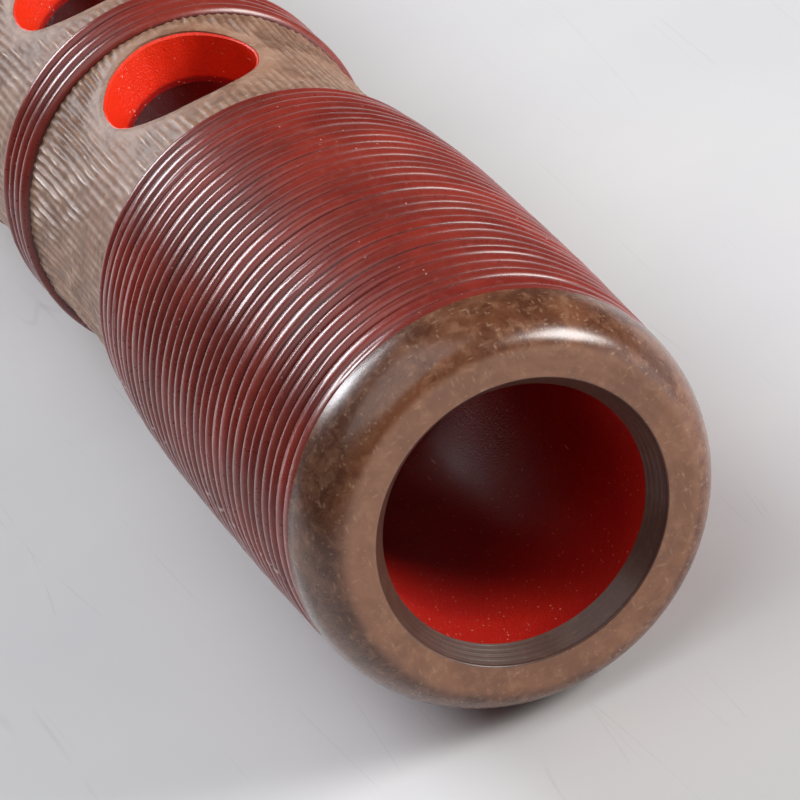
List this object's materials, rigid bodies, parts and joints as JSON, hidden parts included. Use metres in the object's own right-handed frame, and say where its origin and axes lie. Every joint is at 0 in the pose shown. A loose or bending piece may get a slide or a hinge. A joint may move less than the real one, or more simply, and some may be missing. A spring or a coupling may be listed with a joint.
{
  "type": "double reed pipe",
  "caption": "Short tapered wind pipe with finger and thumb holes, red lacquered bore, bound with strand windings between turned end rings.",
  "frame": {"origin": "centre of the reed socket's mouth, on the bore axis, 1.15 mm inside the mouth ring's end face", "axes": "+Y along the bore from the mouth to the foot, +Z the way the front finger holes open, +X to the right seen from the mouth"},
  "size_m": [0.0234, 0.182, 0.0234],
  "materials": {
    "pipe_resin": "wood-filled brown resin, mottled, satin on the rings and tooled on the waists",
    "red_lacquer": "gloss vermilion lacquer",
    "winding_strand": "dark red-brown lacquered strand, semi-gloss"
  },
  "bodies": {
    "root": {"pipe_tube": "pipe_resin", "mouth_ring": "pipe_resin", "foot_ring": "pipe_resin", "lacquer_lining": "red_lacquer", "upper_winding": "winding_strand", "foot_winding": "winding_strand", "hole_winding_1": "winding_strand", "hole_winding_2": "winding_strand", "hole_winding_3": "winding_strand", "hole_winding_4": "winding_strand", "hole_winding_5": "winding_strand", "hole_winding_6": "winding_strand"}
  },
  "joints": []
}
